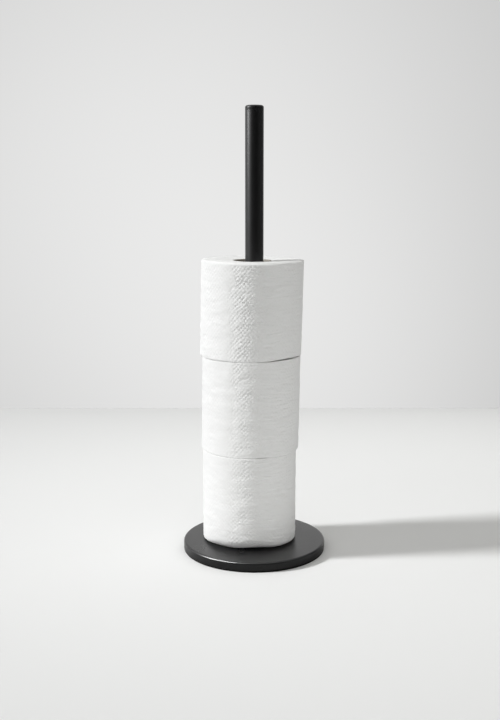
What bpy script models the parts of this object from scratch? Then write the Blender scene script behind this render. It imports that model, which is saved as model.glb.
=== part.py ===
"""A free-standing pole stand that holds spare toilet rolls, with three rolls on it.

The base is a pressed steel cover turned in round an iron weight. A screw from below draws the
weight, the cover and the insert in the pole's foot together, and a foam ring keeps the base from
sliding. The rolls drop over the pole, one on another. Each is a card core with paper wound on it.

Sizes are in metres and +Z is up. The origin is on the floor, under the pole's axis.
"""

import math

import bmesh
import bpy
from mathutils import Matrix

# The whole stand
STAND_HEIGHT = 0.4677
BASE_DIAMETER = 0.1524
BASE_HEIGHT = 0.0103
POLE_DIAMETER = 0.019

# Room between pieces that touch on the real stand, and the distance under which points are one
CLEARANCE = 0.0003
MERGE_DISTANCE = 0.00001

# Cover of the base, pressed from sheet steel
COVER_WALL = 0.0012
COVER_SHOULDER_RADIUS = 0.0022
COVER_FOOT_RADIUS = 0.0013
COVER_LIP_WIDTH = 0.0030
COVER_LIFT = 0.0010
COVER_HOLE_DIAMETER = 0.0120

# Iron weight in the cover, and the foam ring under it
WEIGHT_CHAMFER = 0.0012
PAD_MARGIN = 0.0015
PAD_EDGE = 0.0004
PAD_HOLE_DIAMETER = 0.0280

# Screw from below, with its washer
SCREW_DIAMETER = 0.0060
SCREW_LENGTH = 0.0200
SCREW_TIP_CHAMFER = 0.0008
SCREW_HEAD_DIAMETER = 0.0105
SCREW_HEAD_HEIGHT = 0.0033
SCREW_HEAD_FACE_DIAMETER = 0.0064
SCREW_HEAD_LIFT = 0.0012
SOCKET_WIDTH = 0.0040
SOCKET_DEPTH = 0.0021
WASHER_DIAMETER = 0.0180
WASHER_THICKNESS = 0.0012
WASHER_PLAY = 0.0010

# Pole: a tube, the insert in its foot and the cap on its top
TUBE_WALL = 0.0010
EDGE_BREAK = 0.0002
INSERT_LENGTH = 0.0250
INSERT_CHAMFER = 0.0010
CAP_BAND = 0.0046
CAP_EDGE_RADIUS = 0.0022
CAP_PLUG_LENGTH = 0.0120
CAP_WALL = 0.0018

# Rolls, from the bottom up
ROLL_HEIGHT = 0.1003
CORE_BORE_DIAMETER = 0.0380
CORE_WALL = 0.0006
PAPER_TOP_RADIUS = 0.0012
PAPER_FOOT_RADIUS = 0.0028
SHEET_STEP = 0.0006
BOTTOM_ROLL_DIAMETER = 0.0989
MIDDLE_ROLL_DIAMETER = 0.1028
TOP_ROLL_DIAMETER = 0.1062
MIDDLE_FOOT_SLIP = 0.0014
TOP_FOOT_SLIP = 0.0022

# Where each roll hangs on the pole, as shares of the play between its core and the pole
BOTTOM_PLACE_SHARES = (-0.57, 0.49)
MIDDLE_PLACE_SHARES = (-0.33, 0.71)
TOP_PLACE_SHARES = (-0.19, 0.88)

# The free edge of each roll's paper is at the back
FREE_EDGE_ANGLE = math.radians(90)

# Sides round each kind of turned piece, and steps round a quarter turn of an edge
BASE_SIDES = 96
WEIGHT_SIDES = 64
POLE_SIDES = 48
CORE_SIDES = 48
SCREW_SIDES = 32
PAPER_SIDES = 64
QUARTER_STEPS = 4


def clear_scene():
    for obj in list(bpy.data.objects):
        bpy.data.objects.remove(obj)


def new_collection(name):
    collection = bpy.data.collections.new(name)
    bpy.context.scene.collection.children.link(collection)
    return collection


def new_material(name, color, roughness, metallic=0.0):
    material = bpy.data.materials.new(name)
    material.use_nodes = True
    shader = material.node_tree.nodes["Principled BSDF"]
    shader.inputs["Base Color"].default_value = (*color, 1.0)
    shader.inputs["Roughness"].default_value = roughness
    shader.inputs["Metallic"].default_value = metallic
    return material


def corner(center_radius, center_height, radius, start_degrees, end_degrees):
    """Points of a rounded edge on a profile. 0 degrees points away from the axis and 90 up."""
    points = []
    for step in range(QUARTER_STEPS + 1):
        share = step / QUARTER_STEPS
        angle = math.radians(start_degrees + (end_degrees - start_degrees) * share)
        across = center_radius + radius * math.cos(angle)
        height = center_height + radius * math.sin(angle)
        points.append((across, height))
    return points


def turned(name, profile, sides, material, collection, ring=True):
    """A piece turned about the pole's axis from a profile of (radius, height) points.

    The profile runs down its outer side. A ring's profile closes on itself, and any other starts
    and ends on the axis.
    """
    edges = [(index, index + 1) for index in range(len(profile) - 1)]
    if ring:
        edges.append((len(profile) - 1, 0))
    outline = bpy.data.meshes.new(name + "_profile")
    outline.from_pydata([(radius, 0, height) for radius, height in profile], edges, [])
    piece = bpy.data.objects.new(name, outline)
    collection.objects.link(piece)
    screw = piece.modifiers.new("Turn", "SCREW")
    screw.steps = sides
    screw.render_steps = sides
    screw.use_merge_vertices = True
    screw.merge_threshold = MERGE_DISTANCE
    mesh = bpy.data.meshes.new_from_object(piece.evaluated_get(bpy.context.evaluated_depsgraph_get()))
    mesh.name = name
    piece.modifiers.clear()
    piece.data = mesh
    bpy.data.meshes.remove(outline)
    finish(piece, material)
    return piece


def finish(piece, material):
    """Smooth shading between the sharp edges, and the piece's own material."""
    piece.data.materials.clear()
    piece.data.materials.append(material)
    piece.data.shade_smooth()
    piece.data.set_sharp_from_angle(angle=math.radians(35))


# Heights that several pieces of the base share
def weight_underside():
    return COVER_LIFT + COVER_WALL + CLEARANCE


def weight_top():
    return BASE_HEIGHT - COVER_WALL - CLEARANCE


def screw_seat():
    """Height of the screw head's flat side, which presses on the washer."""
    return SCREW_HEAD_LIFT + SCREW_HEAD_HEIGHT


def washer_top():
    return screw_seat() + CLEARANCE + WASHER_THICKNESS


def pole_foot():
    return BASE_HEIGHT + CLEARANCE


def cap_seam():
    return STAND_HEIGHT - CAP_BAND


def tube_bore_radius():
    return POLE_DIAMETER / 2 - TUBE_WALL


def screw_hole_radius():
    return SCREW_DIAMETER / 2 + CLEARANCE


def make_base_cover(material, collection):
    outer = BASE_DIAMETER / 2
    lip_end = outer - COVER_LIP_WIDTH
    lip_top = COVER_LIFT + COVER_WALL
    hole = COVER_HOLE_DIAMETER / 2
    shoulder_center = outer - COVER_SHOULDER_RADIUS
    shoulder_height = BASE_HEIGHT - COVER_SHOULDER_RADIUS
    inner_shoulder = COVER_SHOULDER_RADIUS - COVER_WALL
    foot_center = outer - COVER_FOOT_RADIUS
    foot_height = COVER_LIFT + COVER_FOOT_RADIUS
    profile = [(hole, BASE_HEIGHT)]
    profile += corner(shoulder_center, shoulder_height, COVER_SHOULDER_RADIUS, 90, 0)
    profile += corner(foot_center, foot_height, COVER_FOOT_RADIUS, 0, -90)
    profile += [(lip_end, COVER_LIFT), (lip_end, lip_top), (outer - COVER_WALL, lip_top)]
    profile += corner(shoulder_center, shoulder_height, inner_shoulder, 0, 90)
    profile += [(hole, BASE_HEIGHT - COVER_WALL)]
    return turned("base_cover", profile, BASE_SIDES, material, collection)


def make_base_weight(material, collection):
    outer = BASE_DIAMETER / 2 - COVER_WALL - CLEARANCE
    bore = screw_hole_radius()
    recess = WASHER_DIAMETER / 2 + WASHER_PLAY
    recess_top = washer_top() + CLEARANCE
    profile = [
        (bore, weight_top()),
        (outer - WEIGHT_CHAMFER, weight_top()),
        (outer, weight_top() - WEIGHT_CHAMFER),
        (outer, weight_underside() + WEIGHT_CHAMFER),
        (outer - WEIGHT_CHAMFER, weight_underside()),
        (recess, weight_underside()),
        (recess, recess_top),
        (bore, recess_top),
    ]
    return turned("base_weight", profile, WEIGHT_SIDES, material, collection)


def make_base_pad(material, collection):
    outer = BASE_DIAMETER / 2 - COVER_LIP_WIDTH - PAD_MARGIN
    hole = PAD_HOLE_DIAMETER / 2
    top = weight_underside() - CLEARANCE
    profile = [
        (hole, top),
        (outer, top),
        (outer, PAD_EDGE),
        (outer - PAD_EDGE, 0),
        (hole + PAD_EDGE, 0),
        (hole, PAD_EDGE),
    ]
    return turned("base_pad", profile, WEIGHT_SIDES, material, collection)


def make_pole_tube(material, collection):
    outer = POLE_DIAMETER / 2
    inner = tube_bore_radius()
    top = cap_seam() - CLEARANCE
    foot = pole_foot()
    profile = [
        (inner, top),
        (outer - EDGE_BREAK, top),
        (outer, top - EDGE_BREAK),
        (outer, foot + EDGE_BREAK),
        (outer - EDGE_BREAK, foot),
        (inner, foot),
    ]
    return turned("pole_tube", profile, POLE_SIDES, material, collection)


def make_pole_insert(material, collection):
    outer = tube_bore_radius() - CLEARANCE
    spigot = COVER_HOLE_DIAMETER / 2 - CLEARANCE
    bore = screw_hole_radius()
    foot = pole_foot()
    top = foot + INSERT_LENGTH
    spigot_end = BASE_HEIGHT - COVER_WALL
    profile = [
        (bore, top),
        (outer - INSERT_CHAMFER, top),
        (outer, top - INSERT_CHAMFER),
        (outer, foot),
        (spigot, foot),
        (spigot, spigot_end),
        (bore, spigot_end),
    ]
    return turned("pole_insert", profile, POLE_SIDES, material, collection)


def make_pole_cap(material, collection):
    outer = POLE_DIAMETER / 2
    plug = tube_bore_radius() - CLEARANCE
    hollow = plug - CAP_WALL
    seam = cap_seam()
    plug_end = seam - CAP_PLUG_LENGTH
    profile = [(0, STAND_HEIGHT)]
    profile += corner(outer - CAP_EDGE_RADIUS, STAND_HEIGHT - CAP_EDGE_RADIUS, CAP_EDGE_RADIUS, 90, 0)
    profile += [
        (outer, seam + EDGE_BREAK),
        (outer - EDGE_BREAK, seam),
        (plug, seam),
        (plug, plug_end + INSERT_CHAMFER),
        (plug - INSERT_CHAMFER, plug_end),
        (hollow, plug_end),
        (hollow, STAND_HEIGHT - CAP_EDGE_RADIUS - CAP_WALL),
        (0, STAND_HEIGHT - CAP_EDGE_RADIUS - CAP_WALL),
    ]
    return turned("pole_cap", profile, POLE_SIDES, material, collection, ring=False)


def make_clamp_screw(material, collection, cutters):
    shank = SCREW_DIAMETER / 2
    head = SCREW_HEAD_DIAMETER / 2
    face = SCREW_HEAD_FACE_DIAMETER / 2
    tip = screw_seat() + SCREW_LENGTH
    profile = [
        (0, tip),
        (shank - SCREW_TIP_CHAMFER, tip),
        (shank, tip - SCREW_TIP_CHAMFER),
        (shank, screw_seat()),
    ]
    for step in range(QUARTER_STEPS + 1):
        angle = math.radians(90 * step / QUARTER_STEPS)
        across = face + (head - face) * math.cos(angle)
        profile.append((across, screw_seat() - SCREW_HEAD_HEIGHT * math.sin(angle)))
    profile.append((0, SCREW_HEAD_LIFT))
    screw = turned("clamp_screw", profile, SCREW_SIDES, material, collection, ring=False)
    socket = screw.modifiers.new("Hex socket", "BOOLEAN")
    socket.operation = "DIFFERENCE"
    socket.object = hex_socket_cutter(cutters)
    return screw


def hex_socket_cutter(cutters):
    """A six-sided prism up into the screw's head, which starts one clearance below it."""
    depth = SOCKET_DEPTH + CLEARANCE
    across_corners = SOCKET_WIDTH / math.cos(math.radians(30))
    prism = bmesh.new()
    bmesh.ops.create_cone(
        prism,
        cap_ends=True,
        segments=6,
        radius1=across_corners / 2,
        radius2=across_corners / 2,
        depth=depth,
        matrix=Matrix.Translation((0, 0, SCREW_HEAD_LIFT + SOCKET_DEPTH - depth / 2)),
    )
    mesh = bpy.data.meshes.new("hex_socket_cutter")
    prism.to_mesh(mesh)
    prism.free()
    cutter = bpy.data.objects.new("hex_socket_cutter", mesh)
    cutter.hide_render = True
    cutter.display_type = "WIRE"
    cutters.objects.link(cutter)
    return cutter


def make_clamp_washer(material, collection):
    outer = WASHER_DIAMETER / 2
    bore = screw_hole_radius()
    top = washer_top()
    foot = top - WASHER_THICKNESS
    profile = [
        (bore, top),
        (outer - EDGE_BREAK, top),
        (outer, top - EDGE_BREAK),
        (outer, foot + EDGE_BREAK),
        (outer - EDGE_BREAK, foot),
        (bore, foot),
    ]
    return turned("clamp_washer", profile, SCREW_SIDES, material, collection)


def make_roll_core(name, material, collection):
    """A card tube that stands on its roll's own axis."""
    inner = CORE_BORE_DIAMETER / 2
    outer = inner + CORE_WALL
    profile = [
        (inner, ROLL_HEIGHT),
        (outer, ROLL_HEIGHT),
        (outer, 0),
        (inner, 0),
    ]
    return turned(name, profile, CORE_SIDES, material, collection)


def paper_section(radius, growth):
    """One cut through the wound paper, down its outer side, as (radius, height, is outer) points.

    The bore and the first points of the end faces stay where they are, and the points after them
    follow the winding, which has grown by the given amount.
    """
    bore = CORE_BORE_DIAMETER / 2 + CORE_WALL + CLEARANCE
    top_center = radius - PAPER_TOP_RADIUS
    foot_center = radius - PAPER_FOOT_RADIUS
    top_arc = corner(top_center + growth, ROLL_HEIGHT - PAPER_TOP_RADIUS, PAPER_TOP_RADIUS, 90, 0)
    foot_arc = corner(foot_center + growth, PAPER_FOOT_RADIUS, PAPER_FOOT_RADIUS, 0, -90)
    section = [(bore, ROLL_HEIGHT, False), (top_center, ROLL_HEIGHT, True)]
    section += [(across, height, True) for across, height in top_arc + foot_arc]
    section += [(foot_center, 0, True), (bore, 0, False)]
    return section


def make_roll_paper(name, diameter, foot_slip, material, collection):
    """Paper wound on a core: a spiral that grows by one sheet in a turn and ends in a free edge.

    The outside has slipped sideways by foot_slip at its foot, so the roll leans, and its bore
    still fits the straight core.
    """
    loft = bmesh.new()
    rings = []
    for side in range(PAPER_SIDES + 1):
        turn = side / PAPER_SIDES
        angle = FREE_EDGE_ANGLE + 2 * math.pi * turn
        ring = []
        for radius, height, is_outer in paper_section(diameter / 2, SHEET_STEP * turn):
            slip = foot_slip * (1 - height / ROLL_HEIGHT) if is_outer else 0
            place = (radius * math.cos(angle) - slip, radius * math.sin(angle), height)
            ring.append(loft.verts.new(place))
        rings.append(ring)
    for this, following in zip(rings, rings[1:]):
        for index in range(len(this)):
            loft.faces.new((this[index - 1], this[index], following[index], following[index - 1]))
    start, end = rings[0], rings[-1]
    for index in range(2, len(start) - 2):
        loft.faces.new((start[index - 1], start[index], end[index], end[index - 1]))
    bmesh.ops.remove_doubles(loft, verts=loft.verts, dist=MERGE_DISTANCE)
    bmesh.ops.recalc_face_normals(loft, faces=loft.faces)
    mesh = bpy.data.meshes.new(name)
    loft.to_mesh(mesh)
    loft.free()
    paper = bpy.data.objects.new(name, mesh)
    collection.objects.link(paper)
    finish(paper, material)
    return paper


def make_roll(name, level, diameter, foot_slip, place_shares, card, tissue, collection):
    """One roll on the pole. Its core and paper hang from an empty on the roll's own axis."""
    play = (CORE_BORE_DIAMETER - POLE_DIAMETER) / 2
    across_share, back_share = place_shares
    height = BASE_HEIGHT + CLEARANCE + level * (ROLL_HEIGHT + CLEARANCE)
    axis = bpy.data.objects.new(name, None)
    axis.location = (play * across_share, play * back_share, height)
    collection.objects.link(axis)
    core = make_roll_core(name + "_core", card, collection)
    paper = make_roll_paper(name + "_paper", diameter, foot_slip, tissue, collection)
    core.parent = axis
    paper.parent = axis


def build():
    clear_scene()
    stand = new_collection("toilet_roll_stand")
    cutters = new_collection("cutters")

    coating = new_material("satin_black_coating", (0.016, 0.016, 0.017), 0.38)
    iron = new_material("painted_iron", (0.045, 0.045, 0.045), 0.65)
    steel = new_material("zinc_plated_steel", (0.62, 0.63, 0.64), 0.35, metallic=1.0)
    foam = new_material("black_foam", (0.02, 0.02, 0.02), 0.9)
    card = new_material("grey_card", (0.55, 0.50, 0.43), 0.9)
    tissue = new_material("white_tissue", (0.88, 0.88, 0.87), 0.85)

    make_base_cover(coating, stand)
    make_base_weight(iron, stand)
    make_base_pad(foam, stand)
    make_pole_tube(coating, stand)
    make_pole_insert(steel, stand)
    make_pole_cap(coating, stand)
    make_clamp_screw(steel, stand, cutters)
    make_clamp_washer(steel, stand)

    make_roll("bottom_roll", 0, BOTTOM_ROLL_DIAMETER, 0, BOTTOM_PLACE_SHARES, card, tissue, stand)
    make_roll(
        "middle_roll", 1, MIDDLE_ROLL_DIAMETER, MIDDLE_FOOT_SLIP, MIDDLE_PLACE_SHARES, card, tissue, stand
    )
    make_roll("top_roll", 2, TOP_ROLL_DIAMETER, TOP_FOOT_SLIP, TOP_PLACE_SHARES, card, tissue, stand)


build()
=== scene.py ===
# %% [markdown]
# # A pole stand with three toilet rolls
#
# The object is a black steel stand for spare toilet rolls: a heavy round base, a straight pole, and
# three rolls that drop over the pole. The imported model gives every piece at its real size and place.
# This script dresses it: each piece is built again with its fine shape, and gets a finish made of
# shader nodes. A camera, a floor, a wall and soft studio lamps make the picture.

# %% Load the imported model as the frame
import math

import bmesh
import bpy
import numpy as np
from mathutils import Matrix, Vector


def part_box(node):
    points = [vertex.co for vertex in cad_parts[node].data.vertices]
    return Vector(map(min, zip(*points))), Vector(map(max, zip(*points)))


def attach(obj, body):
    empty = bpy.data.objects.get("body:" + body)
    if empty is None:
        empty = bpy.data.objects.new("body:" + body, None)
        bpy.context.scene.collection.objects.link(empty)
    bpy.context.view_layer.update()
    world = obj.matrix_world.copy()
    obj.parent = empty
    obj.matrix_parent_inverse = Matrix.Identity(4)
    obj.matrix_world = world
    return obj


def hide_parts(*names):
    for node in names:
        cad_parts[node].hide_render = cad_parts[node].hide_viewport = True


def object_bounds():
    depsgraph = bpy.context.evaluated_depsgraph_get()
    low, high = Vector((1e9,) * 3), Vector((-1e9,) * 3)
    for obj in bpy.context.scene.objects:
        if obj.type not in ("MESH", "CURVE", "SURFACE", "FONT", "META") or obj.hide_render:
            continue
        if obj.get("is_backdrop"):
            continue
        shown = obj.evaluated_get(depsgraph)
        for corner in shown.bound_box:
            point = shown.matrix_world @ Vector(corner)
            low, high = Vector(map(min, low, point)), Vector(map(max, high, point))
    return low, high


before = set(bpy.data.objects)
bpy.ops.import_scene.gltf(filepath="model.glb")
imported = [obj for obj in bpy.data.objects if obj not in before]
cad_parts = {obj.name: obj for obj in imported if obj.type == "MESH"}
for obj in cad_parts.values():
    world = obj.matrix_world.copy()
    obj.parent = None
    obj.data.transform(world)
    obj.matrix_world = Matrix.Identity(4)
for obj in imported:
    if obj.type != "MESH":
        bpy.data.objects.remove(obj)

cad_low, cad_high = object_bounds()
scene = bpy.context.scene
scene.view_settings.view_transform = "Standard"

# %% [markdown]
# ## The camera
#
# A camera placed by eye would put no edge quite where the photograph has it. This one is fitted to the
# photograph's edges: the pole's sides, the rims of the rolls and the round base. Blender measures the
# lens against the long side of the picture, so a focal length in pixels becomes millimetres when it is
# scaled by the sensor's width over that long side.

# %% Camera at the photograph's place
PHOTO_LONG_SIDE = 720
FOCAL_PIXELS = 1000
SENSOR_MM = 36
CAMERA_PLACE = Vector((-0.0045, -1.0390, 0.3929))
CAMERA_TILT_DOWN = math.radians(10.18)

camera = bpy.data.objects.new("camera", bpy.data.cameras.new("camera"))
camera.data.sensor_width = SENSOR_MM
camera.data.lens = FOCAL_PIXELS * SENSOR_MM / PHOTO_LONG_SIDE
camera.location = CAMERA_PLACE
camera.rotation_euler = (math.radians(90) - CAMERA_TILT_DOWN, 0, 0)
scene.collection.objects.link(camera)
scene.camera = camera
print(f"camera {camera.data.lens:.1f} mm, {CAMERA_PLACE.length:.2f} m from the origin")

# %% [markdown]
# ## Small helpers for node trees
#
# Materials and geometry trees are both made of nodes and links. A helper that makes a node, sets its
# options and fills its inputs, with a number or with another node's socket, keeps each tree below
# about as short as the formula that it stands for.


# %% Helpers that add nodes
def add_node(tree, kind, inputs=None, **options):
    """A new node. An input is a number or a colour, or the socket that feeds it."""
    made = tree.nodes.new(kind)
    for name, value in options.items():
        setattr(made, name, value)
    for key, value in (inputs or {}).items():
        if isinstance(value, bpy.types.NodeSocket):
            tree.links.new(value, made.inputs[key])
        else:
            made.inputs[key].default_value = value
    return made


def calc(tree, operation, *values):
    """A Math node's result. A value may be a further sum, written as (operation, values)."""
    values = [calc(tree, *value) if isinstance(value, tuple) else value for value in values]
    return add_node(tree, "ShaderNodeMath", dict(enumerate(values)), operation=operation).outputs[0]


def vector_calc(tree, operation, *values, result="Vector", **named):
    """A Vector Math node's result. The factor of SCALE is given by its name, as Scale."""
    inputs = {**dict(enumerate(values)), **named}
    return add_node(tree, "ShaderNodeVectorMath", inputs, operation=operation).outputs[result]


def split(tree, vector):
    """A vector's X, Y and Z."""
    return add_node(tree, "ShaderNodeSeparateXYZ", {0: vector}).outputs


def vector_of(tree, **parts):
    """A vector made from its X, Y and Z."""
    return add_node(tree, "ShaderNodeCombineXYZ", parts).outputs[0]


def remap(tree, value, from_low, from_high, to_low, to_high, curve="LINEAR"):
    """Slides a value from one range to another, and holds it there."""
    ends = {"From Min": from_low, "From Max": from_high, "To Min": to_low, "To Max": to_high}
    inputs = {"Value": value, **ends}
    return add_node(tree, "ShaderNodeMapRange", inputs, interpolation_type=curve).outputs["Result"]


def noise(tree, vector, size, detail=2.0, result="Fac"):
    """Soft noise from 0 to 1. Its blobs are about as wide as the given size in metres."""
    inputs = {"Vector": vector, "Scale": 1 / size, "Detail": detail}
    return add_node(tree, "ShaderNodeTexNoise", inputs).outputs[result]


print("node helpers ready")

# %% [markdown]
# ## The room
#
# The stand is seen in front of a pale wall on a pale floor. A picture of a room could light it, but real
# surfaces are easier to steer: the floor takes the shadow and throws its light back on the rolls. What
# the camera sees of a surface, and what light it throws back, are told apart by the kind of ray that
# meets it. Seen from behind or below, floor and wall would hide the stand, so their back faces are
# transparent.

# %% Helpers for the stage
WALL_COLOR = (0.86, 0.86, 0.85, 1)
ROOM_TINT = (1.0, 1.0, 0.995)


def flat_sheet(name, corners, material):
    """A stage surface with four corners."""
    mesh = bpy.data.meshes.new(name)
    mesh.from_pydata(corners, [], [(0, 1, 2, 3)])
    mesh.materials.append(material)
    made = bpy.data.objects.new(name, mesh)
    scene.collection.objects.link(made)
    made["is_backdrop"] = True
    return made


def hide_from(made, *rays):
    """Hides an object from some kinds of rays, such as those that carry diffuse light."""
    for ray in rays:
        setattr(made, "visible_" + ray, False)


def room_material(name, color):
    material = bpy.data.materials.new(name)
    material.use_nodes = True
    shader = material.node_tree.nodes["Principled BSDF"]
    shader.inputs["Base Color"].default_value = color
    shader.inputs["Roughness"].default_value = 1.0
    shader.inputs["Specular IOR Level"].default_value = 0.0
    return material


def mix(tree, factor, first, second):
    """The first number where the factor is 0, the second where it is 1."""
    return add_node(tree, "ShaderNodeMix", {0: factor, 2: first, 3: second}).outputs[0]


def mix_shaders(tree, factor, first, second):
    return add_node(tree, "ShaderNodeMixShader", {0: factor, 1: first, 2: second}).outputs[0]


def seen_directly(tree):
    """1 for the rays that show a surface itself, in the picture or as a reflection, and 0 for light."""
    rays = add_node(tree, "ShaderNodeLightPath").outputs
    shown = ("MAXIMUM", rays["Is Camera Ray"], rays["Is Glossy Ray"])
    return calc(tree, "MAXIMUM", shown, rays["Is Transmission Ray"])


def see_through_from_behind(tree, front):
    """Shows the front shader on the front, and nothing on the back."""
    nothing = add_node(tree, "ShaderNodeBsdfTransparent").outputs["BSDF"]
    side = add_node(tree, "ShaderNodeNewGeometry").outputs["Backfacing"]
    one_side = mix_shaders(tree, side, front, nothing)
    tree.links.new(one_side, tree.nodes["Material Output"].inputs["Surface"])


def fade(tree, spot, start, end, inside, outside):
    """A value that goes smoothly from inside to outside with the distance from a spot."""
    place = add_node(tree, "ShaderNodeTexCoord").outputs["Object"]
    away = vector_calc(tree, "DISTANCE", place, spot, result="Value")
    return remap(tree, away, start, end, inside, outside, curve="SMOOTHSTEP")


print("stage helpers ready")

# %% [markdown]
# The floor's colour fades gently for the eye, as a lit sheet of paper does: this fade is painted light,
# brightest near the stand and darker further off. Its bounced light comes from the right and the front
# only, as if black cloth lay on the left, outside the picture: the side of the rolls that faces the lamp
# is then lit by the lamp alone, and doesn't burn out. In reflections the floor is painted darker close in
# front of the stand, a painted dark reflection that keeps the base's edge as deep a black as it is in the
# photograph. Under the base a painted shadow makes the floor black, so that the thin gap round its foot
# shows as a dark line.

# %% Floor
FLOOR_HALF_WIDTH = 9.0
# Fades: (middle of the spot, where it starts to fade, where the fade ends, value inside, value outside)
# painted light: the floor's colour for the eye, brightest near the stand and darker further off
FLOOR_PAINTED_LIGHT = ((0.25, 0.1, 0.0), 0.2, 1.1, 0.888, 0.605)
FLOOR_BOUNCE_FADE = ((0.75, -0.55, 0.0), 0.75, 1.30, 0.95, 0.05)
# painted dark reflection: the floor's colour in reflections, darker just in front of the stand
FLOOR_PAINTED_DARK_REFLECTION = ((0.02, -0.10, 0.0), 0.06, 0.22, 0.35, 1.0)
# painted shadow: the floor's colour under the base, nearly black, for the shade in the gap round its foot
UNDER_BASE_PAINTED_SHADOW = ((0.0, 0.0, 0.0), 0.0752, 0.0764, 0.02, 1.0)

floor_material = room_material("pale_floor", WALL_COLOR)
tree = floor_material.node_tree
shader = tree.nodes["Principled BSDF"]
in_mirror = add_node(tree, "ShaderNodeLightPath").outputs["Is Glossy Ray"]
mirrored = mix(tree, in_mirror, 1.0, fade(tree, *FLOOR_PAINTED_DARK_REFLECTION))
looks = calc(tree, "MULTIPLY", fade(tree, *FLOOR_PAINTED_LIGHT), mirrored)
looks = calc(tree, "MULTIPLY", fade(tree, *UNDER_BASE_PAINTED_SHADOW), looks)
shade = mix(tree, seen_directly(tree), fade(tree, *FLOOR_BOUNCE_FADE), looks)
tree.links.new(vector_calc(tree, "SCALE", ROOM_TINT, Scale=shade), shader.inputs["Base Color"])
see_through_from_behind(tree, shader.outputs["BSDF"])

far = FLOOR_HALF_WIDTH
floor_corners = [(-far, -far, 0), (far, -far, 0), (far, far, 0), (-far, far, 0)]
flat_sheet("floor", floor_corners, floor_material)
print("floor", 2 * FLOOR_HALF_WIDTH, "m wide")

# %% [markdown]
# The wall is lit unevenly, brightest a little left of the stand, and again near its foot. Lamps could
# draw that, but they would light the stand too. So it is painted on the wall, only for the rays that see
# it, and its bounce light stays plain. A wider backdrop just behind the wall, which only the camera
# sees, carries it on for pictures from other sides.

# %% Wall and backdrop
WALL_DISTANCE = 0.672
WALL_HALF_WIDTH = 0.85
WALL_HEIGHT = 1.3
BACKDROP_HALF_WIDTH = 6.0
BACKDROP_HEIGHT = 5.0
BACKDROP_GAP = 0.001
WALL_FADE = ((-0.14, 0.672, 0.36), 0.0, 1.1, 0.806, 0.50)
WALL_FOOT_FADE = ((0.12, 0.672, -0.05), 0.0, 0.6, 0.072, 0.0)

wall_material = room_material("pale_wall", WALL_COLOR)
tree = wall_material.node_tree
glow = calc(tree, "ADD", fade(tree, *WALL_FADE), fade(tree, *WALL_FOOT_FADE))
painted = add_node(tree, "ShaderNodeEmission", {"Color": (*ROOM_TINT, 1), "Strength": glow}).outputs[0]
plain = tree.nodes["Principled BSDF"].outputs["BSDF"]
see_through_from_behind(tree, mix_shaders(tree, seen_directly(tree), plain, painted))


def upright_sheet(name, half_width, distance, height):
    """A wall that faces the camera."""
    low_left, low_right = (-half_width, distance, 0), (half_width, distance, 0)
    high_left, high_right = (-half_width, distance, height), (half_width, distance, height)
    return flat_sheet(name, [low_left, low_right, high_right, high_left], wall_material)


upright_sheet("wall", WALL_HALF_WIDTH, WALL_DISTANCE, WALL_HEIGHT)
backdrop = upright_sheet("backdrop", BACKDROP_HALF_WIDTH, WALL_DISTANCE + BACKDROP_GAP, BACKDROP_HEIGHT)
hide_from(backdrop, "diffuse", "glossy", "transmission", "shadow")
print("room: wall", WALL_DISTANCE, "m behind the pole")

# %% [markdown]
# ## The light
#
# A studio's soft fill comes from walls and ceiling all round. Here it is the world, with a strength for
# each side: most from behind the camera, nearly as much from above, and less from the right. It could
# be a sky picture, but three numbers are enough, and each can be set against the photograph's greys.

# %% World
# Strength of the fill from the side that each signed axis points to
ROOM_FILL = {"X": 0.20, "Y": -0.46, "Z": 0.43}
ROOM_FILL_COLOR = (1.0, 1.0, 0.975, 1)
BACKGROUND_COLOR = (0.80, 0.80, 0.795, 1)

world = bpy.data.worlds.new("room")
world.use_nodes = True
scene.world = world
tree = world.node_tree
pale = add_node(tree, "ShaderNodeBackground", {"Color": BACKGROUND_COLOR, "Strength": 1.0}).outputs[0]
parts = split(tree, add_node(tree, "ShaderNodeTexCoord").outputs["Generated"])
strength = 0.0
for side, amount in ROOM_FILL.items():
    facing = calc(tree, "MAXIMUM", ("MULTIPLY", parts[side], math.copysign(1, amount)), 0.0)
    strength = calc(tree, "MULTIPLY_ADD", facing, abs(amount), strength)
fill = add_node(tree, "ShaderNodeBackground", {"Color": ROOM_FILL_COLOR, "Strength": strength}).outputs[0]
both = mix_shaders(tree, seen_directly(tree), fill, pale)
tree.links.new(both, tree.nodes["World Output"].inputs["Surface"])
print("fill from", len(ROOM_FILL), "sides")

# %% [markdown]
# One soft lamp far to the left, a little towards the camera, gives the shadow that runs out to the
# right: the softness of the shadow's edge tells the lamp's size, and the evenly lit floor tells that it
# is far away. Two more lamps are there only for reflections. A small one close by gives the pole its
# glint, which fades downwards because it is near. A long strip, shaded off everything but the base,
# draws the bright line along the base's shoulder.

# %% Lamps
LAMP_TURN = math.radians(6.5)
LAMP_COLOR = (0.985, 0.992, 1.0)
# Each lamp's turn towards the camera, its distance and height, its size and power, and how high it aims
KEY = {"turn": LAMP_TURN, "distance": 3.73, "height": 2.51, "size": 0.62, "power": 181, "aim": 0.18}
GLINT = {"turn": LAMP_TURN, "distance": 0.70, "height": 0.62, "size": 0.14, "power": 1.4, "aim": 0.4}
STRIP = {"turn": math.radians(25), "distance": 1.5, "height": 1.9, "size": 0.5, "power": 94, "aim": 0}
STRIP_LENGTH = 1.5


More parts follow.
